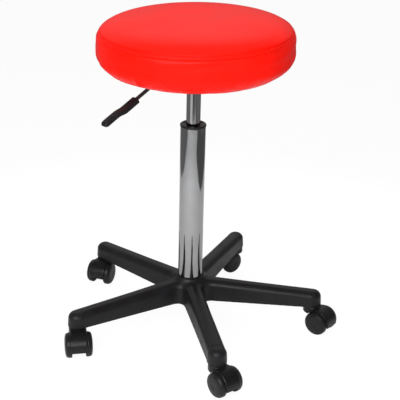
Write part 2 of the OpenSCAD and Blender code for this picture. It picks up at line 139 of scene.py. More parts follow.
def mottled(tree, value, colour, darkest, lightest):
    """The colour, between its darkest and its lightest share, by a texture's value."""
    return two_tone(tree, value, [c * darkest for c in colour], [min(1, c * lightest) for c in colour])


def bump(tree, shader, value, depth, strength=0.6):
    """Relief of the given depth in metres; stacked on relief that is already there."""
    node = add_node(tree, "ShaderNodeBump", Strength=strength, Distance=depth)
    tree.links.new(value, node.inputs["Height"])
    earlier = shader.inputs["Normal"].links
    if earlier:
        tree.links.new(earlier[0].from_socket, node.inputs["Normal"])
    tree.links.new(node.outputs["Normal"], shader.inputs["Normal"])


def plastic(name, colour, roughness, grain=2600, depth=0.04 * MM, specular=0.3):
    """Moulded plastic: faint cloudiness, fine spark-eroded grain."""
    paint, tree, shader = new_material(name)
    place = tree.nodes.new("ShaderNodeTexCoord")
    cloud = noise(tree, place, 28)
    tree.links.new(mottled(tree, cloud, colour, 0.82, 1.2), shader.inputs["Base Color"])
    fine = noise(tree, place, grain, 2)
    tree.links.new(spread(tree, cloud, roughness - 0.04, roughness + 0.05), shader.inputs["Roughness"])
    bump(tree, shader, fine, depth)
    shader.inputs["Specular IOR Level"].default_value = specular
    return paint


def metal(name, colour, roughness, stretch=(1, 1, 1), scale=900, depth=0.01 * MM):
    """Metal with fine marks: long along one axis where stretch says so."""
    paint, tree, shader = new_material(name)
    place = tree.nodes.new("ShaderNodeTexCoord")
    marks = noise(tree, place, scale, 3, stretch)
    cloud = noise(tree, place, 22)
    tree.links.new(mottled(tree, cloud, colour, 0.93, 1.05), shader.inputs["Base Color"])
    tree.links.new(spread(tree, marks, roughness * 0.8, roughness * 1.3), shader.inputs["Roughness"])
    bump(tree, shader, marks, depth, 0.3)
    shader.inputs["Metallic"].default_value = 1.0
    return paint


def leather(name, colour):
    """Satin artificial leather: pebble grain, faint mottling, lightly lacquered."""
    paint, tree, shader = new_material(name)
    place = tree.nodes.new("ShaderNodeTexCoord")
    mottle = noise(tree, place, 9, 4)
    tree.links.new(mottled(tree, mottle, colour, 0.93, 1.04), shader.inputs["Base Color"])
    tree.links.new(spread(tree, mottle, 0.33, 0.40), shader.inputs["Roughness"])
    grain = cells(tree, place, 620, "SMOOTH_F1")
    pores = noise(tree, place, 1500, 3)
    bump(tree, shader, grain, 0.10 * MM, 0.35)
    bump(tree, shader, pores, 0.05 * MM, 0.3)
    shader.inputs["Specular IOR Level"].default_value = 0.08
    return paint


def cloth(name, colour):
    """Non-woven cloth: pressed fibres with a dotted emboss."""
    paint, tree, shader = new_material(name)
    place = tree.nodes.new("ShaderNodeTexCoord")
    fibres = noise(tree, place, 700, 8)
    tree.links.new(mottled(tree, fibres, colour, 0.6, 1.6), shader.inputs["Base Color"])
    bump(tree, shader, fibres, 0.2 * MM)
    bump(tree, shader, cells(tree, place, 450), 0.25 * MM)
    tree.links.new(spread(tree, fibres, 0.85, 0.95), shader.inputs["Roughness"])
    shader.inputs["Specular IOR Level"].default_value = 0.2
    return paint


def foam_paint():
    """Open-cell foam."""
    paint, tree, shader = new_material("foam_cells")
    place = tree.nodes.new("ShaderNodeTexCoord")
    pores = cells(tree, place, 900)
    colour = two_tone(tree, pores, (0.78, 0.66, 0.36), (0.88, 0.79, 0.5), 0.1, 0.6)
    tree.links.new(colour, shader.inputs["Base Color"])
    bump(tree, shader, pores, 0.5 * MM)
    tree.links.new(spread(tree, pores, 0.9, 1.0), shader.inputs["Roughness"])
    return paint


def plywood_paint():
    """Birch plywood: stacked veneers with long grain."""
    paint, tree, shader = new_material("plywood")
    place = tree.nodes.new("ShaderNodeTexCoord")
    veneers = noise(tree, place, 1, 0, (0, 0, 700))
    grain = noise(tree, place, 60, 5, (1, 12, 1))
    mixed = math_node(tree, "ADD", veneers, grain)
    colour = two_tone(tree, mixed, (0.36, 0.2, 0.09), (0.62, 0.42, 0.22), 0.7, 1.3)
    tree.links.new(colour, shader.inputs["Base Color"])
    tree.links.new(spread(tree, grain, 0.6, 0.75), shader.inputs["Roughness"])
    bump(tree, shader, grain, 0.1 * MM)
    return paint


PAINTS = {
    "base_nylon": plastic("base_nylon", (0.0085, 0.0085, 0.0095), 0.42, specular=0.22),
    "caster_nylon": plastic("caster_nylon", (0.0075, 0.0075, 0.008), 0.38, specular=0.25),
    "black_plastic": plastic("black_plastic", (0.010, 0.010, 0.011), 0.36),
    "grip_plastic": plastic("grip_plastic", (0.011, 0.011, 0.012), 0.46, specular=0.15),
    "black_rubber": plastic("black_rubber", (0.012, 0.012, 0.012), 0.7, 1200, 0.08 * MM),
    "black_steel": plastic("black_steel", (0.014, 0.014, 0.015), 0.4, 1800, 0.05 * MM, 0.5),
    "chrome_tube": metal("chrome_tube", (0.32, 0.323, 0.328), 0.06, (1, 1, 0.02), 500, 0.004 * MM),
    "tube_steel": metal("tube_steel", (0.40, 0.39, 0.40), 0.10, (1, 1, 0.02), 900, 0.006 * MM),
    "rod_chrome": metal("rod_chrome", (0.6, 0.6, 0.62), 0.08, (1, 1, 0.05)),
    "zinc_steel": metal("zinc_steel", (0.52, 0.53, 0.55), 0.33),
    "end_steel": metal("end_steel", (0.42, 0.42, 0.43), 0.38),
    "spring_steel": metal("spring_steel", (0.3, 0.3, 0.31), 0.35),
    "ball_steel": metal("ball_steel", (0.65, 0.65, 0.66), 0.1),
    "cage_brass": metal("cage_brass", (0.55, 0.38, 0.13), 0.3),
    "nut_brass": metal("nut_brass", (0.5, 0.4, 0.2), 0.36),
    "piston_alloy": metal("piston_alloy", (0.5, 0.5, 0.51), 0.3),
    "red_leather": leather("red_leather", (0.93, 0.0075, 0.0025)),
    "red_thread": plastic("red_thread", (0.62, 0.006, 0.003), 0.6, 1800, 0.1 * MM),
    "black_cloth": cloth("black_cloth", (0.012, 0.012, 0.012)),
    "foam": foam_paint(),
    "plywood": plywood_paint(),
}


# ---------------------------------------------------------------- mesh helpers

def mesh_of(name, points, faces, slot, sharp=35):
    """A smooth-shaded mesh with creases sharper than the given angle kept."""
    mesh = bpy.data.meshes.new(name)
    mesh.from_pydata([tuple(p) for p in points], [], faces)
    work = bmesh.new()
    work.from_mesh(mesh)
    bmesh.ops.recalc_face_normals(work, faces=work.faces)
    work.to_mesh(mesh)
    work.free()
    mesh.shade_smooth()
    mesh.set_sharp_from_angle(angle=radians(sharp))
    mesh.materials.append(PAINTS[slot])
    return mesh


def add_object(name, data):
    thing = bpy.data.objects.new(name, data)
    bpy.context.scene.collection.objects.link(thing)
    return thing


def place_piece(name, mesh, body, replaced, matrix=None):
    """Puts a mesh in the scene as a piece of one body, standing for one CAD node."""
    piece = add_object(name, mesh)
    if matrix is not None:
        piece.matrix_world = matrix
    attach(piece, body)
    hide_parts(replaced)
    return piece


def build_piece(name, shape, body, slot, replaced, sharp=35, matrix=None):
    """Makes a piece from its points and faces."""
    return place_piece(name, mesh_of(name, *shape, slot, sharp), body, replaced, matrix)


def rounded(corners, parts=5):
    """Closed outline through (r, z, fillet) corners, each fillet turned into an arc."""
    outline = []
    count = len(corners)
    for i, (r, z, fillet) in enumerate(corners):
        here = Vector((r, z))
        back = Vector(corners[i - 1][:2]) - here
        ahead = Vector(corners[(i + 1) % count][:2]) - here
        half = back.angle(ahead) / 2
        if fillet == 0 or half > radians(88):
            outline.append((r, z))
            continue
        reach = min(fillet / tan(half), 0.48 * back.length, 0.48 * ahead.length)
        centre = here + (back.normalized() + ahead.normalized()).normalized() * (reach / cos(half))
        start = here + back.normalized() * reach - centre
        end = here + ahead.normalized() * reach - centre
        sweep = pi - 2 * half
        for k in range(parts + 1):
            share = k / parts
            spoke = (start * sin((1 - share) * sweep) + end * sin(share * sweep)) / sin(sweep)
            outline.append(tuple(centre + spoke))
    return outline


def ring_at(radius, z, turn):
    """A ring of points at the given radii and heights."""
    return np.stack([radius * np.cos(turn), radius * np.sin(turn), z], 1)


def ring_faces(rings, steps, closed=False, first=0):
    """Quads that join rings of points; closed joins the last ring to the first too."""
    faces = []
    for row in range(rings if closed else rings - 1):
        here, there = first + row * steps, first + (row + 1) % rings * steps
        for i in range(steps):
            j = (i + 1) % steps
            faces.append([here + i, here + j, there + j, there + i])
    return faces


def turned(outline, steps=128):
    """Points and faces of a closed (r, z) outline turned round Z; axis points stay single."""
    points, rings, faces = [], [], []
    for r, z in outline:
        if r < 1e-7:
            rings.append([len(points)] * steps)
            points.append((0, 0, z))
            continue
        rings.append(list(range(len(points), len(points) + steps)))
        points += [(r * cos(2 * pi * i / steps), r * sin(2 * pi * i / steps), z) for i in range(steps)]
    for ring, above in zip(rings, rings[1:] + rings[:1]):
        for i in range(steps):
            j = (i + 1) % steps
            face = list(dict.fromkeys([ring[i], ring[j], above[j], above[i]]))
            if len(face) > 2:
                faces.append(face)
    return points, faces


def swept(path, radius, sides=20):
    """Points and faces of a round bar along a path, with domed ends."""
    path = [Vector(p) for p in path]
    first = (path[1] - path[0]).normalized()
    last = (path[-1] - path[-2]).normalized()
    rings = []
    dome = [radians(a) for a in (70, 45, 20)]
    for a in dome:
        rings.append((path[0] - first * radius * sin(a) * 0.5, first, radius * cos(a)))
    for i, point in enumerate(path):
        ahead = path[min(i + 1, len(path) - 1)] - path[max(i - 1, 0)]
        rings.append((point, ahead.normalized(), radius))
    for a in reversed(dome):
        rings.append((path[-1] + last * radius * sin(a) * 0.5, last, radius * cos(a)))
    points = []
    side = first.orthogonal().normalized()
    for centre, ahead, size in rings:
        side = (side - ahead * side.dot(ahead)).normalized()
        other = ahead.cross(side)
        for k in range(sides):
            a = 2 * pi * k / sides
            points.append(centre + (side * cos(a) + other * sin(a)) * size)
    faces = ring_faces(len(rings), sides)
    faces.append(list(range(sides)))
    faces.append([(len(rings) - 1) * sides + k for k in range(sides)])
    return points, faces


def smooth_min(a, b, size):
    """The lesser of two distances, with a fillet of about the given size between them."""
    near = np.maximum(size - np.abs(a - b), 0) / size
    return np.minimum(a, b) - near * near * size / 4


def smooth_max(a, b, size):
    return -smooth_min(-a, -b, size)


def surface_net(field, low, high, step):
    """Points and quads of the surface where field(x, y, z) is zero; it is negative inside."""
    axes = [np.arange(a - 2 * step, b + 3 * step, step, dtype=np.float32) for a, b in zip(low, high)]
    x, y, z = np.meshgrid(*axes, indexing="ij")
    value = field(x, y, z).astype(np.float32)
    inside = value < 0
    shape = np.array(value.shape)
    corners = [(i, j, k) for i in (0, 1) for j in (0, 1) for k in (0, 1)]

    def shifted(array, corner):
        return array[tuple(slice(c, n - 1 + c) for c, n in zip(corner, shape))]

    filled = sum(shifted(inside, c).astype(np.int8) for c in corners)
    mixed = (filled > 0) & (filled < 8)
    cell = np.argwhere(mixed)
    index = np.full(mixed.shape, -1, np.int64)
    index[tuple(cell.T)] = np.arange(len(cell))
    total = np.zeros((len(cell), 3))
    count = np.zeros(len(cell))
    for a in corners:
        for axis in range(3):
            if a[axis]:
                continue
            b = tuple(1 if n == axis else c for n, c in enumerate(a))
            va = value[tuple((cell + a).T)]
            vb = value[tuple((cell + b).T)]
            crossed = (va < 0) != (vb < 0)
            share = np.where(crossed, va / np.where(crossed, va - vb, 1), 0)
            spot = cell + np.array(a, float)
            spot[:, axis] += share
            total[crossed] += spot[crossed]
            count[crossed] += 1
    points = total / count[:, None] * step + [axis[0] for axis in axes]
    for _ in range(3):
        here = field(*points.T)
        tilt = np.stack([
            field(*(points + offset).T) - field(*(points - offset).T)
            for offset in np.eye(3) * step * 0.05
        ], 1) / (step * 0.1)
        steep = np.maximum((tilt ** 2).sum(1), 0.2)
        move = -(here / steep)[:, None] * tilt
        far = np.linalg.norm(move, axis=1, keepdims=True)
        points += move * np.minimum(1, 0.4 * step / np.maximum(far, 1e-12))
    quads = []
    for axis in range(3):
        one, two = [n for n in range(3) if n != axis]
        ahead = np.eye(3, dtype=int)[axis]
        room = tuple(slice(0, n - 1) if m == axis else slice(1, n - 1) for m, n in enumerate(shape))
        start = inside[room]
        end = inside[tuple(slice(s.start + a, s.stop + a) for s, a in zip(room, ahead))]
        crossing = np.argwhere(start != end) + [s.start for s in room]
        back_one, back_two = np.eye(3, dtype=int)[one], np.eye(3, dtype=int)[two]
        ring = [crossing - back_one - back_two, crossing - back_two, crossing, crossing - back_one]
        quads.append(np.stack([index[tuple(r.T)] for r in ring], 1))
    return points, np.concatenate(quads).tolist()


def rounded_box(across, up, size):
    """Distance to a quadrant with a rounded corner, from distances past its two faces."""
    a, b = across + size, up + size
    return np.hypot(np.maximum(a, 0), np.maximum(b, 0)) + np.minimum(np.maximum(a, b), 0) - size


# ---------------------------------------------------------------- base

FOOT_Z = 55 * MM
BOSS_Z = lowest("star_base").z
STEMS = [Vector(JOINTS[f"caster_{k}_swivel"]["pos_m"][:2]) for k in range(1, ARMS + 1)]
REACH = STEMS[0].length
BASE_TURN = atan2(STEMS[0].y, STEMS[0].x)
HUB_TOP = highest("star_base").z
ARM_TOP_HUB = 101.5 * MM
ARM_TOP_TIP = 85.8 * MM
ARM_HALF = 19.5 * MM
ARM_CROWN_HALF = 15.8 * MM
ARM_SHOULDER = 12.5 * MM
ARM_WALL = 3.2 * MM
VALLEY = 25 * MM
HUB_FLARE = 1.2 * MM
HOUSING_R = 18.8 * MM
HOUSING_CROWN_R = 16.8 * MM
BOSS_R = 33 * MM
COLLAR_R = 28.5 * MM
SLEEVE_R = (highest("outer_tube").x - lowest("outer_tube").x) / 2
SLEEVE_TAPER = 1.6 * MM
SLEEVE_FOOT = lowest("outer_tube").z
RIB_HALF = 1.3 * MM
RIB_FIRST = 88 * MM
RIB_STEP = 44 * MM


def arm_field(along, across, z):
    """Distance from one arm: a bar with a rounded crown that ends in its caster housing."""
    top = ARM_TOP_HUB + (ARM_TOP_TIP - ARM_TOP_HUB) * np.clip(along / REACH, 0, 1)
    rise = np.clip((z - FOOT_Z) / (top - FOOT_Z), 0, 1)
    share = np.clip((along - REACH / 2) / (REACH / 2), -1, 1)
    foot_half = np.where(share < 0, ARM_HALF - HUB_FLARE * share, ARM_HALF + (HOUSING_R - ARM_HALF) * share)
    crown_half = np.where(share < 0, ARM_CROWN_HALF - HUB_FLARE * share,
                          ARM_CROWN_HALF + (HOUSING_CROWN_R - ARM_CROWN_HALF) * share)
    bar = np.maximum(across - foot_half - (crown_half - foot_half) * rise, along - REACH)
    housing = np.hypot(along - REACH, across) - HOUSING_R - (HOUSING_CROWN_R - HOUSING_R) * rise
    return rounded_box(smooth_min(bar, housing, 3 * MM), z - top, ARM_SHOULDER)


def base_field(x, y, z):
    """Distance from the moulded star base: arms, hub and caster housings, hollow below."""
    rho = np.hypot(x, y)
    step = 2 * pi / ARMS
    turn = np.abs((np.arctan2(y, x) - BASE_TURN + step / 2) % step - step / 2)
    along, across = rho * np.cos(turn), rho * np.sin(turn)
    arm = arm_field(along, across, z)
    other = arm_field(rho * np.cos(step - turn), rho * np.sin(step - turn), z)
    outer = smooth_min(arm, other, VALLEY)
    collar = rounded_box(rho - COLLAR_R, z - HUB_TOP, 1.6 * MM)
    outer = smooth_min(outer, collar, 9 * MM)
    stem = np.hypot(along - REACH, across)
    room = np.maximum(arm + ARM_WALL, np.maximum(46 * MM - along, along - REACH + HOUSING_R + 3 * MM))
    nearest = np.clip(np.round((along - RIB_FIRST) / RIB_STEP), 0, 3) * RIB_STEP + RIB_FIRST
    rib = np.maximum(np.abs(along - nearest) - RIB_HALF, FOOT_Z + 3 * MM - z)
    room = np.maximum(room, -rib)
    solid = smooth_max(outer, -room, 1.0 * MM)
    solid = smooth_max(solid, FOOT_Z - z, 1.4 * MM)
    boss = np.maximum(rounded_box(rho - BOSS_R, BOSS_Z - z, 1.5 * MM), z - FOOT_Z - 12 * MM)
    solid = np.minimum(solid, boss)
    taper = SLEEVE_TAPER * np.clip((HUB_TOP - z) / (HUB_TOP - SLEEVE_FOOT), 0, 1)
    bore = rho - (SLEEVE_R + 0.15 * MM - taper)
    stem_bore = np.maximum(stem - 6 * MM, z - 81 * MM)
    return np.maximum(solid, -np.minimum(bore, stem_bore))


def build_base():
    side = REACH + HOUSING_R
    shape = surface_net(
        base_field, (-side, -side, BOSS_Z), (side, side, HUB_TOP), (1.5) * MM)
    build_piece("star_base_skin", shape, "base", "base_nylon", "star_base", 50)


# ---------------------------------------------------------------- casters

AXLE = JOINTS["caster_1_left_roll"]["pos_m"]
TRAIL = hypot(AXLE[0] - STEMS[0].x, AXLE[1] - STEMS[0].y)
WHEEL_R = AXLE[2]
FENDER_R = 28.4 * MM
FENDER_IN = 25.9 * MM
FENDER_HALF = 17.5 * MM
CHEEK_OUT = 13.2 * MM
CHEEK_IN = 9.6 * MM
HOOD_ROOM_R = 23 * MM
HOOD_FOOT = 21 * MM
AXLE_BOSS_R = 7.5 * MM
NECK_R = 17.6 * MM
NECK_TOP = 54.4 * MM
NECK_LOW = 38.4 * MM
STEM_HEAD_TOP = 43.6 * MM


def hood_field(x, y, z):
    """Distance from a caster hood: fender band, two cheeks that hold the axle, and the neck."""
    wheel = np.hypot(x - TRAIL, z - WHEEL_R)
    side = np.abs(y)
    stem = np.hypot(x, y)
    drum = rounded_box(wheel - FENDER_R, side - FENDER_HALF, 3.5 * MM)
    neck = np.maximum(rounded_box(stem - NECK_R, z - NECK_TOP, 1.2 * MM), NECK_LOW - 8 * MM - z)
    solid = smooth_min(drum, neck, 5 * MM)
    recess = np.maximum(wheel - FENDER_IN, CHEEK_OUT - side)
    solid = smooth_max(solid, -recess, 0.8 * MM)
    solid = smooth_max(solid, HOOD_FOOT - z, 1.0 * MM)
    front = np.maximum(x - 6 * MM, z - NECK_LOW)
    solid = smooth_max(solid, -front, 2.5 * MM)
    room = np.maximum(wheel - HOOD_ROOM_R, np.maximum(side - CHEEK_IN, 12.5 * MM - x))
    solid = smooth_max(solid, -room, 1.2 * MM)
    solid = np.minimum(solid, np.maximum(wheel - AXLE_BOSS_R, side - CHEEK_OUT))
    seat = np.maximum(stem - 8.5 * MM, z - STEM_HEAD_TOP)
    return np.maximum(solid, -np.minimum(np.minimum(seat, stem - 5.55 * MM), wheel - 3.0 * MM))


def scaled(outline, size):
    return [(r * size, z * size) for r, z in outline]


def wheel_mesh():
    """A wheel whose axis is Z, its domed face up, with webs in the hollow of its inner face."""
    corners = [
        (3.05, 13.8, 0.2), (10, 13.8, 0.5), (10.4, 17.0, 0.6), (19.6, 17.0, 0.6), (20, 13.8, 0.5),
        (24.2, 13.8, 0.5), (25, 14.8, 0.8), (25, 19.8, 2.2), (24.2, 23.0, 1.8), (22.4, 25.3, 0.7),
        (20.6, 26.1, 0.3), (19.9, 25.5, 0.3), (17.2, 26.9, 3.0), (11, 27.6, 6.0), (5.2, 27.8, 0.3),
        (4.6, 27.2, 0.3), (0, 27.2, 0), (0, 23.6, 0), (3.05, 23.6, 0.2),
    ]
    points, faces = turned(scaled(rounded(corners, 4), MM), 96)
    webs = 8
    for k in range(webs):
        a = 2 * pi * k / webs
        ahead, side = Vector((cos(a), sin(a), 0)), Vector((-sin(a), cos(a), 0))
        first = len(points)
        for r in (9.6 * MM, 20.2 * MM):
            for half in (-0.7 * MM, 0.7 * MM):
                for z in (14.4 * MM, 17.4 * MM):
                    points.append(ahead * r + side * half + Vector((0, 0, z)))
        for face in ((0, 1, 3, 2), (4, 6, 7, 5), (0, 4, 5, 1), (2, 3, 7, 6), (0, 2, 6, 4), (1, 5, 7, 3)):
            faces.append([first + n for n in face])
    return mesh_of("caster_wheel", points, faces, "caster_nylon", 38)


def build_casters():
    side = FENDER_HALF
    step = 0.75 * MM
    points, faces = surface_net(
        hood_field, (-NECK_R, -side, WHEEL_R - AXLE_BOSS_R), (TRAIL + FENDER_R, side, NECK_TOP), step)
    hood = mesh_of("caster_hood", points, faces, "caster_nylon", 45)
    wheel = wheel_mesh()
    for k in range(1, ARMS + 1):
        stem = STEMS[k - 1]
        axle = JOINTS[f"caster_{k}_left_roll"]["pos_m"]
        turn = atan2(axle[1] - stem.y, axle[0] - stem.x)
        place = Matrix.Translation((stem.x, stem.y, 0)) @ Matrix.Rotation(turn, 4, "Z")
        place_piece(f"caster_{k}_hood_skin", hood, f"caster_{k}", f"caster_{k}_hood", place)
        hub = place @ Matrix.Translation((TRAIL, 0, WHEEL_R))
        for name, tilt in (("left", -90), ("right", 90)):
            place_piece(
                f"caster_{k}_{name}_wheel_skin", wheel, f"caster_{k}_{name}",
                f"caster_{k}_wheel_{name}", hub @ Matrix.Rotation(radians(tilt), 4, "X"))


# ---------------------------------------------------------------- gas column

def build_column():
    top = highest("outer_tube").z
    foot_r = SLEEVE_R - SLEEVE_TAPER
    wall = 1.5 * MM
    corners = [
        (foot_r - wall, SLEEVE_FOOT, 0.3 * MM), (foot_r, SLEEVE_FOOT, 0.3 * MM),
        (SLEEVE_R, HUB_TOP - 1 * MM, 0), (SLEEVE_R, HUB_TOP, 0), (SLEEVE_R, top - 1 * MM, 0),
        (SLEEVE_R, top, 0.25 * MM), (SLEEVE_R - wall, top, 0.25 * MM), (SLEEVE_R - wall, HUB_TOP, 0),
    ]
    build_piece("chrome_sleeve", turned(rounded(corners), 192), "base", "chrome_tube", "outer_tube")

    ring_top = highest("guide_bush").z
    ring_r = highest("guide_bush").x
    bush_low = lowest("guide_bush").z
    tube_r = highest("pressure_tube").x
    inner = tube_r + 0.1 * MM
    bush_r = SLEEVE_R - wall - 0.05 * MM
    corners = [
        (inner, bush_low, 0.3 * MM), (bush_r, bush_low, 0.6 * MM), (bush_r, top, 0.2 * MM),
        (ring_r - 0.7 * MM, top, 0.3 * MM), (ring_r, top + 0.7 * MM, 0.5 * MM),
        (ring_r, ring_top - 1.2 * MM, 1.2 * MM), (ring_r - 2.0 * MM, ring_top, 0.9 * MM),
        (ring_r - 3.0 * MM, ring_top - 0.5 * MM, 1.0 * MM),
        (inner + 3.0 * MM, ring_top - 3.2 * MM, 1.5 * MM), (inner, ring_top - 3.4 * MM, 0.4 * MM),
    ]
    build_piece("guide_ring", turned(rounded(corners)), "base", "black_plastic", "guide_bush")

    low, high = lowest("pressure_tube").z, highest("pressure_tube").z
    cone = lowest("socket_tube").z
    drop = 1.1 * MM
    corners = [
        (tube_r - wall, low, 0.3 * MM), (tube_r, low, 0.4 * MM), (tube_r, low + 2 * MM, 0),
        (tube_r, cone - 3 * MM, 0), (tube_r, cone, 0),
        (tube_r - drop, high, 0.3 * MM), (tube_r - drop - wall, high, 0.3 * MM), (tube_r - wall, cone, 0),
    ]
    build_piece("pressure_tube_skin", turned(rounded(corners)), "seat", "tube_steel", "pressure_tube")


# ---------------------------------------------------------------- lever

LEVER_TURN = radians(225)
LEVER_Z = JOINTS["lever_lift"]["pos_m"][2]
LEVER_R = 3.5 * MM
DROOP = radians(24)
TIP_X = -6 * MM
BEND_X = 90 * MM
BEND_R = 24 * MM
COLLAR_X = 148.7 * MM
GRIP_END = 228.2 * MM
GRIP_LENGTH = (GRIP_END - COLLAR_X) / cos(DROOP)


def grip_field(x, y, z):
    """Distance from the waved paddle grip: square collar, waist, then a long rounded blade."""
    rise = np.clip((x / GRIP_LENGTH - 0.36) / 0.24, 0, 1)
    wave = rise * rise * (3 - 2 * rise)
    middle = (-0.8 + 3.6 * wave) * MM
    half_width = (8.0 + 0.3 * wave) * MM
    half_depth = 5.1 * MM
    corner = (2.5 + 2.1 * wave) * MM
    section = rounded_box(np.abs(y) - half_width, np.abs(z - middle) - half_depth, corner)
    nose = GRIP_LENGTH - 9 * MM
    beyond = np.maximum(x - nose, 0)
    tip = np.sqrt(beyond ** 2 + np.maximum(section + 9 * MM, 0) ** 2) - 9 * MM
    body = np.where(x > nose, np.maximum(section, tip), section)
    body = smooth_max(body, -x, 1.2 * MM)
    bore = np.maximum(np.hypot(y, z) - LEVER_R - 0.02 * MM, x - GRIP_LENGTH + 14 * MM)
    return np.maximum(body, -bore)


def build_lever():
    frame_of_lever = Matrix.Rotation(LEVER_TURN, 4, "Z") @ Matrix.Translation((0, 0, LEVER_Z))
    run = BEND_R * tan(DROOP / 2)
    path = [(TIP_X + LEVER_R * 0.5, 0, 0)]
    path += [(TIP_X + (BEND_X - run - TIP_X) * k / 6, 0, 0) for k in range(1, 7)]
    for k in range(1, 9):
        a = DROOP * k / 8
        path.append((BEND_X - run + BEND_R * sin(a), 0, -BEND_R * (1 - cos(a))))
    length = (GRIP_END - BEND_X - 15 * MM) / cos(DROOP)
    for k in range(1, 7):
        out = run + (length - run) * k / 6
        path.append((BEND_X + out * cos(DROOP), 0, -out * sin(DROOP)))
    bar = swept(path, LEVER_R, 24)
    build_piece("lever_bar", bar, "lever", "black_steel", "lever_rod", matrix=frame_of_lever)
    step = 0.7 * MM
    grip = surface_net(grip_field, (0, -11 * MM, -10 * MM), (GRIP_LENGTH, 11 * MM, 12 * MM), step)
    along = Matrix.Translation((BEND_X, 0, 0)) @ Matrix.Rotation(DROOP, 4, "Y")
    along = along @ Matrix.Translation(((COLLAR_X - BEND_X) / cos(DROOP), 0, 0))
    place = frame_of_lever @ along
    build_piece("lever_paddle", grip, "lever", "grip_plastic", "lever_grip", 60, place)


# ---------------------------------------------------------------- cushion

SEAT_TOP = highest("cover_top").z
SEAT_R = highest("cover_side").x
SEAT_MID = 587 * MM
SEAT_LOW = 528.5 * MM
TOP_POWER = 4.73
LOW_POWER = 2.17
SEAM_Z = lowest("cover_top").z
SEAM_HALF = 3.2 * MM
COVER_T = 1.2 * MM
BOARD_Z = lowest("seat_board").z
BOARD_R = highest("seat_board").x
BOARD_TOP = highest("seat_board").z
LEAN = 0.018
LEAN_SHIFT = 2.3 * MM
HEM_R = 128 * MM
WRINKLE_TOP = 0.08 * MM
WRINKLE_RIM = 0.22 * MM
DRAG_DEPTH = 0.5 * MM
PUCKER_DEPTH = 0.22 * MM
SWELL_RISE = 0.6 * MM
GROOVE_DEPTH = 1.2 * MM
BAND_DIP = 0.9 * MM
PLEAT_DEPTH = 1.0 * MM
CREASE_TURN = radians(-79.3)
STEPS_ROUND = 768


def outline_of_skin():
    """Dense (r, z) line over the cushion: top centre, shoulder, side, tuck, then the hem."""
    turn = np.linspace(pi / 2, 0, 1500)
    r = SEAT_R * np.cos(turn) ** (2 / TOP_POWER)
    z = SEAT_MID + (SEAT_TOP - SEAT_MID) * np.sin(turn) ** (2 / TOP_POWER)
    r[0] = 0
    flat = np.linspace(0, r[1], 200)[:-1]
    upper = np.concatenate([np.stack([flat, np.full_like(flat, SEAT_TOP)], 1), np.stack([r, z], 1)[1:]])
    turn = np.linspace(0, pi / 2, 1500)
    r = SEAT_R * np.cos(turn) ** (2 / LOW_POWER)
    z = SEAT_MID - (SEAT_MID - SEAT_LOW) * np.sin(turn) ** (2 / LOW_POWER)
    lower = np.stack([r, z], 1)[1:]
    lower = lower[lower[:, 1] > BOARD_Z - 6.0 * MM]
    start, before = lower[-1], lower[-2]
    ahead = (start - before) / np.linalg.norm(start - before)
    handles = [start, start + ahead * 5 * MM, np.array([BOARD_R - 1 * MM, BOARD_Z - 7.6 * MM]),
               np.array([BOARD_R - 9 * MM, BOARD_Z - 1.4 * MM])]
    t = np.linspace(0, 1, 60)[1:, None]
    tuck = ((1 - t) ** 3 * handles[0] + 3 * (1 - t) ** 2 * t * handles[1]
            + 3 * (1 - t) * t ** 2 * handles[2] + t ** 3 * handles[3])
    hem = np.linspace(tuck[-1], [HEM_R, BOARD_Z - 1.4 * MM], 40)[1:]
    return np.concatenate([upper, lower, tuck, hem])


SKIN = outline_of_skin()
SKIN_S = np.concatenate([[0], np.cumsum(np.linalg.norm(np.diff(SKIN, axis=0), axis=1))])
SEAM_S = float(np.interp(-SEAM_Z, -SKIN[:, 1], SKIN_S))
TUCK_S = float(SKIN_S[np.argmin(SKIN[:, 1])])
WIDE_S = float(SKIN_S[np.argmax(SKIN[:, 0])])


def skin_at(s):
    """Points and outward directions of the outline at arc lengths s."""
    r = np.interp(s, SKIN_S, SKIN[:, 0])
    z = np.interp(s, SKIN_S, SKIN[:, 1])
    step = 1.0 * MM
    dr = np.interp(s + step, SKIN_S, SKIN[:, 0]) - np.interp(s - step, SKIN_S, SKIN[:, 0])
    dz = np.interp(s + step, SKIN_S, SKIN[:, 1]) - np.interp(s - step, SKIN_S, SKIN[:, 1])
    size = np.maximum(np.hypot(dr, dz), 1e-9)
    return np.stack([r, z], -1), np.stack([-dz / size, dr / size], -1)


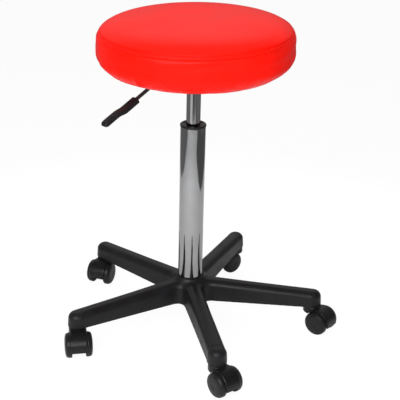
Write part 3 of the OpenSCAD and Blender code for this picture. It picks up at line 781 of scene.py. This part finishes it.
class Relief:
    """How far the stuffed cover stands off its outline, by turn (0 to 2 pi) and arc length."""

    def __init__(self):
        self.random = np.random.default_rng(7)
        self.simulated = None
        self.waves = [
            (int(n), self.random.uniform(0, 2 * pi), self.random.uniform(0.4, 1.0))
            for n in self.random.choice(np.arange(58, 128), 12, replace=False)
        ]
        self.envelope = [(n, self.random.uniform(0, 2 * pi)) for n in (2, 3, 5, 7, 11)]
        self.folds = self.slanted((1, 2, 3, 4, 6, 7), 150, 300, 0.5)
        self.broad = self.slanted((2, 3, 4, 5, 7, 9, 12, 15, 19, 23), 14, 42, 0.4)

    def slanted(self, counts, slowest, fastest, least):
        """Waves round the seat: count, change along the arc, phase and size of each."""
        pick = self.random.uniform
        return [(n, pick(slowest, fastest), pick(0, 2 * pi), pick(least, 1)) for n in counts]

    def puckers(self, turn):
        waves = sum(size * np.cos(n * turn + shift) for n, shift, size in self.waves) / 2.6
        swell = sum(np.cos(n * turn + shift) for n, shift in self.envelope) / 3
        return waves * np.clip(0.55 + 0.5 * swell, 0.12, 1.3)

    def wrinkles(self, turn, s):
        total = 0
        for n, along, shift, size in self.broad:
            total = total + size * np.cos(n * turn + along * s + shift) / (1 + n / 6)
        return total

    def drag(self, turn, s):
        """Long folds that run round the side, strongest just below the seam."""
        down = s - SEAM_S
        below = np.clip((down - 3 * MM) / (10 * MM), 0, 1) * np.exp(-np.maximum(down, 0) / (45 * MM))
        bend = 0.9 * np.cos(2 * turn + 1) + 0.6 * np.cos(5 * turn)
        return below * sum(
            size * np.cos(n * turn + along * s + bend + shift) for n, along, shift, size in self.folds) / 2

    def __call__(self, turn, s):
        off_seam = np.abs(s - SEAM_S)
        beside = np.maximum(off_seam - SEAM_HALF, 0)
        edge = np.clip((s - 40 * MM) / (60 * MM), 0, 1)
        rim = np.clip((s - SEAM_S + RIM_WIDTH) / RIM_WIDTH, 0, 1)
        total = (WRINKLE_TOP + WRINKLE_RIM * rim) * self.wrinkles(turn, s) * edge
        total = total + DRAG_DEPTH * self.drag(turn, s)
        total = total + PUCKER_DEPTH * self.puckers(turn) * np.exp(-beside / (7 * MM))
        total = total + SWELL_RISE * np.exp(-((off_seam - 8.0 * MM) / (4.0 * MM)) ** 2)
        total = total - GROOVE_DEPTH * np.exp(-((off_seam - SEAM_HALF) / (1.0 * MM)) ** 2)
        total = total - BAND_DIP * np.clip(1 - off_seam / SEAM_HALF, 0, 1) ** 0.3
        if self.simulated is not None:
            total = total + self.sample(turn, s)
        arc = (turn - CREASE_TURN + pi) % (2 * pi) - pi
        wide = np.exp(-(arc * SEAT_R / (11 * MM)) ** 2)
        level = s - WIDE_S + 9 * MM + 0.6 * arc * SEAT_R * arc
        total = total - 1.5 * MM * wide * np.exp(-(level / (2.2 * MM)) ** 2)
        total = total + 1.0 * MM * wide * np.exp(-((level + 6 * MM) / (4.5 * MM)) ** 2)
        hem = np.clip((s - TUCK_S + 6 * MM) / (24 * MM), 0, 1)
        pleats = np.cos(46 * turn + 1.2 * np.cos(3 * turn)) * 0.6 + 0.4 * np.cos(31 * turn + 2)
        return total + PLEAT_DEPTH * hem * (pleats + 0.6)

    def sample(self, turn, s):
        """The simulated cover's own wrinkles, read from their grid."""
        grid = self.simulated
        rows, columns = grid.shape
        a = (turn % (2 * pi)) / (2 * pi) * rows
        b = np.clip((s - SIM_START) / (SIM_END - SIM_START), 0, 1) * (columns - 1)
        a0, b0 = np.floor(a).astype(int), np.minimum(np.floor(b).astype(int), columns - 2)
        fa, fb = a - a0, b - b0
        low = grid[a0 % rows, b0] * (1 - fb) + grid[a0 % rows, b0 + 1] * fb
        high = grid[(a0 + 1) % rows, b0] * (1 - fb) + grid[(a0 + 1) % rows, b0 + 1] * fb
        fade = np.clip((s - SEAM_S + RIM_WIDTH) / RIM_WIDTH, 0, 1) * np.clip((SIM_END - s) / (12 * MM), 0, 1)
        return (low * (1 - fa) + high * fa) * fade * SIM_SHARE


SIM_START = 30 * MM
SIM_END = TUCK_S - 4 * MM
SIM_FRAMES = 20
SIM_CAP = 12 * MM
SIM_SHARE = 0.35
SIM_LIMIT = 2.2 * MM
PROBE_OUT = 15 * MM
PROBE_REACH = 60 * MM
RIM_WIDTH = 25 * MM


def simulate_cover():
    """Inflates a slack cover by cloth simulation and returns its wrinkles on a grid."""
    shrink = 9 * MM
    s = np.concatenate([np.arange(0, TUCK_S, 8 * MM), [TUCK_S]])
    spots, outward = skin_at(s)
    inner = spots - outward * shrink
    inner[0, 0] = 0
    outline = [tuple(p) for p in inner] + [(0, float(inner[-1, 1]))]
    points, faces = turned(outline, 160)
    mesh = mesh_of("slack_cover", points, faces, "red_leather")
    cover = add_object("slack_cover", mesh)
    bpy.context.view_layer.objects.active = cover
    remesh = cover.modifiers.new("remesh", "REMESH")
    remesh.mode = "VOXEL"
    remesh.voxel_size = 5 * MM
    bpy.ops.object.modifier_apply(modifier="remesh")
    mesh = cover.data
    count = len(mesh.vertices)
    rest = np.zeros(count * 3)
    mesh.vertices.foreach_get("co", rest)
    rest = rest.reshape(-1, 3)
    scatter = np.random.default_rng(11).normal(0, 0.25 * MM, rest.shape)
    mesh.vertices.foreach_set("co", (rest + scatter).ravel())
    held = cover.vertex_groups.new(name="held")
    tight = cover.vertex_groups.new(name="tight")
    seam_z = SEAM_Z - shrink * 0.5
    for i, (x, y, z) in enumerate(rest):
        if z < BOARD_Z + 14 * MM and hypot(x, y) < BOARD_R + 4 * MM:
            held.add([i], 1.0, "REPLACE")
        near = np.exp(-((z - seam_z) / (7 * MM)) ** 2) if hypot(x, y) > 150 * MM else 0
        if near > 0.03:
            tight.add([i], float(near), "REPLACE")
    cloth_setup = cover.modifiers.new("cloth", "CLOTH")
    settings = cloth_setup.settings
    settings.quality = 6
    settings.use_pressure = True
    settings.uniform_pressure_force = 4.0
    settings.effector_weights.gravity = 0
    settings.vertex_group_mass = "held"
    settings.vertex_group_shrink = "tight"
    settings.shrink_min = -0.02
    settings.shrink_max = 0.06
    settings.tension_stiffness = 20
    settings.compression_stiffness = 20
    settings.bending_stiffness = 0.6
    scene = bpy.context.scene
    cloth_setup.point_cache.frame_start = 1
    cloth_setup.point_cache.frame_end = SIM_FRAMES
    for number in range(1, SIM_FRAMES + 1):
        scene.frame_set(number)
    puffed = cover.evaluated_get(bpy.context.evaluated_depsgraph_get())
    moved = np.zeros(count * 3)
    puffed.data.vertices.foreach_get("co", moved)
    moved = moved.reshape(-1, 3)
    shift = moved - rest
    far = np.linalg.norm(shift, axis=1, keepdims=True)
    moved = rest + shift * np.minimum(1, SIM_CAP / np.maximum(far, 1e-9))
    tree = BVHTree.FromPolygons([Vector(p) for p in moved], [list(p.vertices) for p in mesh.polygons])
    rows, columns = 240, 90
    grid = np.zeros((rows, columns))
    spots, outward = skin_at(np.linspace(SIM_START, SIM_END, columns))
    for i in range(rows):
        a = 2 * pi * i / rows
        for j, ((r, z), (nr, nz)) in enumerate(zip(spots, outward)):
            away = Vector((nr * cos(a), nr * sin(a), nz))
            begin = Vector((r * cos(a), r * sin(a), z)) + away * PROBE_OUT
            distance = tree.ray_cast(begin, -away, PROBE_REACH)[3]
            grid[i, j] = PROBE_OUT - distance if distance is not None else 0
    grid -= grid.mean(axis=0)
    scene.frame_set(1)
    bpy.data.objects.remove(cover)
    return grid


RELIEF = Relief()


def leaned(points):
    """Cushion points with the stuffing's slight lean to one side; nothing moves at the board."""
    points = np.array(points, float)
    out = (np.hypot(points[:, 0], points[:, 1]) - BOARD_R) / (12 * MM)
    up = (points[:, 2] - BOARD_TOP - 2 * MM) / (15 * MM)
    share = np.clip(np.maximum(out, up), 0, 1)
    points[:, 2] += share * LEAN * points[:, 0]
    points[:, 0] += share * LEAN_SHIFT
    return points


def shell(outer_s, inner_s, thickness):
    """Points and faces of a leather panel that follows the relief, as a closed shell."""
    steps = STEPS_ROUND
    turn = np.linspace(0, 2 * pi, steps, endpoint=False)
    rows = []
    for s_list, depth in ((outer_s, 0.0), (inner_s, thickness)):
        spots, outward = skin_at(np.array(s_list))
        for (r, z), (nr, nz), s in zip(spots, outward, s_list):
            off = RELIEF(turn, s) * min(1, r / (10 * MM)) - depth
            ring = ring_at(r + nr * off, z + nz * off, turn)
            rows.append(ring if r > 1e-6 else ring[:1])
    points, starts = [], []
    for ring in rows:
        starts.append((sum(len(p) for p in points), len(ring)))
        points.append(ring)
    faces = []
    for (a, na), (b, nb) in zip(starts, starts[1:] + starts[:1]):
        if na == 1 and nb == 1:
            continue
        for i in range(steps):
            j = (i + 1) % steps
            face = list(dict.fromkeys([a + i % na, a + j % na, b + j % nb, b + i % nb]))
            faces.append(face)
    return leaned(np.concatenate(points)), faces


def spaced(start, end, coarse, fine, focus):
    """Arc lengths from start to end: fine steps near focus, coarse ones far from it."""
    out = [start]
    while out[-1] < end - fine:
        away = min(abs(out[-1] - f) for f in focus)
        out.append(out[-1] + fine + (coarse - fine) * min(1, max(0, away - 6 * MM) / (20 * MM)))
    return out[:-1] + [end]


def build_cushion():
    RELIEF.simulated = np.clip(simulate_cover(), -SIM_LIMIT, SIM_LIMIT)
    fine = 0.55 * MM
    top_outer = [0.0] + spaced(6 * MM, SEAM_S + 1.5 * MM, 6 * MM, fine, [SEAM_S])
    top_inner = list(reversed(top_outer[::3]))
    if top_inner[-1] != 0.0:
        top_inner.append(0.0)
    shape = shell(top_outer, top_inner, COVER_T)
    top = build_piece("cushion_top_panel", shape, "seat", "red_leather", "cover_top", 60)

    end = float(SKIN_S[-1])
    side_outer = spaced(SEAM_S + 1.6 * MM, end, 4 * MM, fine, [SEAM_S, TUCK_S + 8 * MM])
    side_inner = list(reversed(side_outer[::3]))
    shape = shell(side_outer, side_inner, 0.9 * MM)
    side = build_piece("cushion_side_panel", shape, "seat", "red_leather", "cover_side", 60)

    half = SEAM_HALF - 0.5 * MM
    band = list(SEAM_S + np.linspace(-half, half, 13))
    build_piece("seam_felled_band", seam_strip(band), "seat", "red_leather", "seam_band", 50)
    build_stitches()

    foam_s = [0.0] + list(np.arange(20 * MM, TUCK_S - 6 * MM, 7 * MM))
    spots, outward = skin_at(np.array(foam_s))
    inner = spots - outward * 5.5 * MM
    inner[0, 0] = 0
    room_r = BOARD_R + 0.4 * MM
    board_top = BOARD_TOP + 2 * MM
    outline = [tuple(p) for p in inner] + [(room_r + 1.5 * MM, float(inner[-1, 1]))]
    outline += [(room_r, float(inner[-1, 1]) + 1.5 * MM), (room_r, board_top), (0, board_top)]
    points, faces = turned(outline)
    foam = build_piece("foam_filling", (leaned(points), faces), "seat", "foam", "foam_pad", 60)


def seam_strip(band):
    """The felled overlap: a thin strip with turned edges, lying in the seam's dip."""
    steps = STEPS_ROUND
    turn = np.linspace(0, 2 * pi, steps, endpoint=False)
    rows = []
    half = band[-1] - SEAM_S
    for side_of_strip in (1, -1):
        for s in band if side_of_strip > 0 else reversed(band):
            (r, z), (nr, nz) = (v[0] for v in skin_at(np.array([s])))
            share = abs(s - SEAM_S) / half
            crown = (1 - share ** 6) ** 0.5
            off = 0.12 * MM * RELIEF.puckers(turn) - 0.75 * MM
            off = off + (side_of_strip * 0.95 * crown) * MM
            rows.append(ring_at(r + nr * off, z + nz * off, turn))
    rows = rows[:len(band)] + rows[len(band) + 1:-1]
    return leaned(np.concatenate(rows)), ring_faces(len(rows), steps, closed=True)


def build_stitches():
    """Two rows of lockstitch along the felled band."""
    length, radius, pitch = 4.6 * MM, 0.42 * MM, 6.2 * MM
    count = int(2 * pi * (SEAT_R - 4 * MM) / pitch)
    sides, along = 8, [(-1, 0.0), (-0.92, 0.6), (-0.7, 0.95), (0, 1.0), (0.7, 0.95), (0.92, 0.6), (1, 0.0)]
    points, faces = [], []
    for row, offset in enumerate((-1.9 * MM, 1.9 * MM)):
        (r, z), (nr, nz) = (v[0] for v in skin_at(np.array([SEAM_S + offset])))
        for k in range(count):
            a = 2 * pi * (k + 0.5 * row) / count
            lift = 0.12 * MM * float(RELIEF.puckers(np.array([a]))[0]) + 0.25 * MM
            outward = Vector((nr * cos(a), nr * sin(a), nz))
            centre = Vector((r * cos(a), r * sin(a), z)) + outward * lift
            ahead = Vector((-sin(a), cos(a), 0))
            side = ahead.cross(outward)
            first = len(points)
            for place, size in along:
                sag = -0.35 * MM * place * place
                for m in range(sides):
                    b = 2 * pi * m / sides
                    spoke = (outward * cos(b) + side * sin(b)) * radius * max(size, 0.15)
                    points.append(centre + ahead * (place * length / 2) + outward * sag + spoke)
            rings = len(along)
            faces += ring_faces(rings, sides, first=first)
            faces.append([first + m for m in range(sides)])
            faces.append([first + (rings - 1) * sides + m for m in range(sides)])
    build_piece("seam_stitches", (leaned(points), faces), "seat", "red_thread", "seam_threads", 60)


# ---------------------------------------------------------------- underside

CLOTH_HOLE_R = 101 * MM
STAPLES = 24
STAPLE_RING_R = 134 * MM


def build_dust_cloth(random):
    """A ring of thin cloth under the board, sagging a little towards its hole."""
    cloth_top = highest("dust_cloth").z - 0.5 * MM
    outer_r, inner_r = highest("dust_cloth").x, CLOTH_HOLE_R
    steps = 288
    turn = np.linspace(0, 2 * pi, steps, endpoint=False)
    waves = [(n, random.uniform(0, 2 * pi), random.uniform(0.3, 1)) for n in (3, 5, 8, 13, 17, 24, 31)]
    sag = sum(size * np.cos(n * turn + shift) for n, shift, size in waves) / 3
    radii = np.linspace(inner_r, outer_r, 14)
    rows = []
    for face in (0, 1):
        for r in radii if face == 0 else radii[::-1]:
            share = (r - inner_r) / (outer_r - inner_r)
            loose = (1 - share) * 0.9 + 0.1
            ragged = r + (0.8 * MM * np.sin(37 * turn) * (share > 0.99))
            z = cloth_top - 0.45 * MM - 0.9 * MM * (sag + 1) / 2 * loose - (0.35 * MM if face == 0 else 0)
            rows.append(ring_at(ragged, z, turn))
    shape = np.concatenate(rows), ring_faces(len(rows), steps, closed=True)
    sheet = build_piece("dust_cloth_sheet", shape, "seat", "black_cloth", "dust_cloth", 60)


def build_staples(random):
    """Wire staples, each a little askew, through the cloth's edge."""
    crown_z = lowest("staples").z + 0.4 * MM
    points, faces = [], []
    for k in range(STAPLES):
        a = 2 * pi * k / STAPLES
        tilt = random.uniform(-0.14, 0.14)
        half, leg = 4.7 * MM, 3.5 * MM
        shape = [(-half, leg), (-half, 1.0 * MM), (-half + 0.35 * MM, 0.3 * MM), (-half + 1.0 * MM, 0),
                 (0, 0), (half - 1.0 * MM, 0), (half - 0.35 * MM, 0.3 * MM), (half, 1.0 * MM), (half, leg)]
        path = []
        for across, up in shape:
            x = STAPLE_RING_R - across * sin(tilt)
            y = across * cos(tilt)
            path.append((x * cos(a) - y * sin(a), x * sin(a) + y * cos(a), crown_z + up))
        p, f = swept(path, 0.42 * MM, 8)
        first = len(points)
        points += p
        faces += [[first + n for n in face] for face in f]
    build_piece("staple_wires", (points, faces), "seat", "zinc_steel", "staples")


def build_underside():
    random = np.random.default_rng(5)
    build_dust_cloth(random)
    build_staples(random)


# ---------------------------------------------------------------- CAD pieces that stay

SLOT_OF = {row["node"]: row["material_slot"] for row in frame["record"]["subparts"]}

BEVELS = {
    "plate_housing": 1.6 * MM, "seat_plate": 0.8 * MM, "plate_bolts": 0.5 * MM, "socket_tube": 0.6 * MM,
    "plate_washers": 0.3 * MM, "pivot_pin": 0.3 * MM, "caster_stems": 0.4 * MM, "end_plate": 0.4 * MM,
    "seat_board": 0.8 * MM,
}


def finish_cad_pieces():
    for name, piece in frame["nodes"].items():
        if piece.hide_render:
            continue
        slot = SLOT_OF[name]
        piece.data.materials.clear()
        piece.data.materials.append(PAINTS[slot])
        if name in BEVELS:
            weld = piece.modifiers.new("weld", "WELD")
            weld.merge_threshold = 0.005 * MM
            bevel = piece.modifiers.new("bevel", "BEVEL")
            bevel.width = BEVELS[name]
            bevel.segments = 3
            bevel.limit_method = "ANGLE"
            bevel.angle_limit = radians(40)
            bevel.harden_normals = True


# ---------------------------------------------------------------- studio

def soft_light(name, place, aim, size, power, seen_in_gloss=True):
    light = bpy.data.lights.new(name, "AREA")
    light.shape = "RECTANGLE"
    light.size, light.size_y = size
    light.energy = power
    lamp = add_object(name, light)
    lamp.location = place
    lamp.rotation_euler = (Vector(aim) - Vector(place)).to_track_quat("-Z", "Y").to_euler()
    lamp.visible_glossy = seen_in_gloss
    lamp.visible_camera = False


def seen_or_felt(tree, seen, felt, output):
    """Joins two shaders: one for what the eye sees straight, one for what lights the object."""
    rays = tree.nodes.new("ShaderNodeLightPath")
    both = tree.nodes.new("ShaderNodeMixShader")
    tree.links.new(rays.outputs["Is Camera Ray"], both.inputs["Fac"])
    tree.links.new(felt, both.inputs[1])
    tree.links.new(seen, both.inputs[2])
    tree.links.new(both.outputs["Shader"], output)


def build_sky():
    """White to the eye; for light, brighter behind, darker overhead and to the right."""
    world = bpy.data.worlds.new("studio")
    bpy.context.scene.world = world
    world.use_nodes = True
    tree = world.node_tree
    felt = find_node(tree, "BACKGROUND")
    felt.inputs["Color"].default_value = (1, 1, 1, 1)
    seen = add_node(tree, "ShaderNodeBackground", Color=(1, 1, 1, 1), Strength=1.0)
    place = tree.nodes.new("ShaderNodeTexCoord")
    split = tree.nodes.new("ShaderNodeSeparateXYZ")
    tree.links.new(place.outputs["Generated"], split.inputs["Vector"])
    level = math_node(tree, "MULTIPLY_ADD", split.outputs["Y"], -0.4, split.outputs["Z"])
    behind = spread(tree, split.outputs["Y"], 0.55, 1.0, 0.2, 0.85)
    climb = spread(tree, split.outputs["Z"], 0.25, 1.15, 0.05, 0.65)
    right = spread(tree, split.outputs["X"], 1.0, 0.5, 0.1, 0.9)
    ceiling = spread(tree, level, 1.0, 0.1, 0.4, 0.52)
    total = math_node(tree, "MULTIPLY", behind, climb)
    total = math_node(tree, "MULTIPLY", total, right)
    total = math_node(tree, "MULTIPLY", total, ceiling)
    tree.links.new(total, felt.inputs["Strength"])
    output = find_node(tree, "OUTPUT_WORLD")
    seen_or_felt(tree, seen.outputs["Background"], felt.outputs["Background"], output.inputs["Surface"])


def build_floor():
    """Pale floor that reads white, with the faintest of soft shadows; its colour is painted darker away from the
    centre, a painted falloff of light that polished metal sees in reflection.
    """
    bpy.ops.mesh.primitive_plane_add(size=12)
    floor = bpy.context.object
    floor.name = "floor"
    paint, tree, shader = new_material("pale_floor")
    spot = tree.nodes.new("ShaderNodeTexCoord")
    away = tree.nodes.new("ShaderNodeVectorMath")
    away.operation = "LENGTH"
    tree.links.new(spot.outputs["Object"], away.inputs[0])
    # Painted light falloff: floor colour 0.92 near the centre, down to 0.60 from 1.2 m out, so the floor dims with
    # distance in reflections.
    painted_falloff = two_tone(tree, away.outputs["Value"], (0.92, 0.92, 0.92), (0.60, 0.60, 0.60), 0.75, 1.2)
    tree.links.new(painted_falloff, shader.inputs["Base Color"])
    shader.inputs["Roughness"].default_value = 0.9
    shader.inputs["Specular IOR Level"].default_value = 0.0
    glow = add_node(tree, "ShaderNodeEmission", Color=(1, 1, 1, 1), Strength=1.04)
    mixed = add_node(tree, "ShaderNodeMixShader", Fac=0.9)
    tree.links.new(shader.outputs["BSDF"], mixed.inputs[1])
    tree.links.new(glow.outputs["Emission"], mixed.inputs[2])
    output = find_node(tree, "OUTPUT_MATERIAL")
    seen_or_felt(tree, mixed.outputs["Shader"], shader.outputs["BSDF"], output.inputs["Surface"])
    floor.data.materials.append(paint)


# Brightness and outline on the floor of each card.
FLAGS = {
    "flag_right": (0.17, [
        (0.9, -0.98), (0.743, -0.87), (0.56, -0.81), (0.66, -0.49), (0.695, -0.18), (0.7, 0.14),
        (0.66, 0.47), (0.5, 0.8), (0.5, 4), (1.13, 4), (1.13, -1.16)]),
    "flag_far_right": (0.27, [(1.13, -1.16), (1.13, 4), (4, 4), (4, -4), (1.4, -4), (1.4, -1.4)]),
    "flag_left": (0.28, [
        (-4, -2.6), (-1.16, -0.82), (-1.1, -0.73), (-0.815, -0.8), (-0.867, -0.447), (-0.83, -0.1),
        (-0.8, 0.12), (-0.66, 0.45), (-0.46, 0.8), (-0.3, 4), (-4, 4)]),
    "flag_front": (0.15, [(-0.5, -4), (-0.42, -1.2), (0.3, -1.2), (0.3, -4)]),
    "flag_pale": (0.26, [(0.3, -4), (0.3, -1.2), (0.62, -1.12), (0.9, -0.98), (1.4, -1.4), (1.4, -4)]),
}


def build_flags():
    """Dark cards on the floor that only polished metal sees, for its dark bands."""
    for name, (glow, outline) in FLAGS.items():
        paint, tree, shader = new_material(name)
        tree.nodes.remove(shader)
        light = add_node(tree, "ShaderNodeEmission", Strength=glow)
        spot = tree.nodes.new("ShaderNodeTexCoord")
        cloud = two_tone(tree, noise(tree, spot, 2), (0.85, 0.85, 0.86), (1, 1, 1))
        tree.links.new(cloud, light.inputs["Color"])
        output = find_node(tree, "OUTPUT_MATERIAL")
        tree.links.new(light.outputs["Emission"], output.inputs["Surface"])
        mesh = bpy.data.meshes.new(name)
        mesh.from_pydata([(x, y, 2 * MM) for x, y in outline], [], [list(range(len(outline)))])
        mesh.materials.append(paint)
        flag = add_object(name, mesh)
        flag.visible_camera = False
        flag.visible_diffuse = False
        flag.visible_shadow = False


def build_studio():
    build_sky()
    build_floor()
    build_flags()
    soft_light("overhead", (0, -0.2, 3.0), (0, 0, 0), (3.5, 3.5), 62, False)
    soft_light("front", (0.3, -3.6, 1.1), (0, 0, 0.3), (2.6, 1.6), 12, False)
    soft_light("key", (-0.5, -1.6, 1.12), (0, 0, 0.58), (1.7, 0.8), 34)
    soft_light("fill", (2.4, -2.4, 0.9), (0, 0, 0.5), (1.6, 1.2), 16, False)


EYE = (0, -1.8429, 1.1168)


def place_camera():
    """Eye above the seat's level, looking 24.5 degrees down, with a slight roll."""
    pitch, yaw, roll = radians(24.53), radians(0.53), radians(1.45)
    data = bpy.data.cameras.new("camera")
    data.sensor_width = 36
    data.lens = 89.95
    camera = add_object("camera", data)
    ahead = Vector((sin(yaw) * cos(pitch), cos(yaw) * cos(pitch), -sin(pitch)))
    right = Vector((cos(yaw), -sin(yaw), 0))
    up = right.cross(ahead)
    rolled_right = right * cos(roll) + up * sin(roll)
    rolled_up = up * cos(roll) - right * sin(roll)
    axes = Matrix((rolled_right, rolled_up, -ahead)).transposed()
    camera.matrix_world = Matrix.Translation(EYE) @ axes.to_4x4()
    bpy.context.scene.camera = camera


place_camera()
build_studio()
build_base()
build_casters()
build_column()
build_lever()
build_cushion()
build_underside()
finish_cad_pieces()

scene = bpy.context.scene
scene.view_settings.view_transform = "Standard"
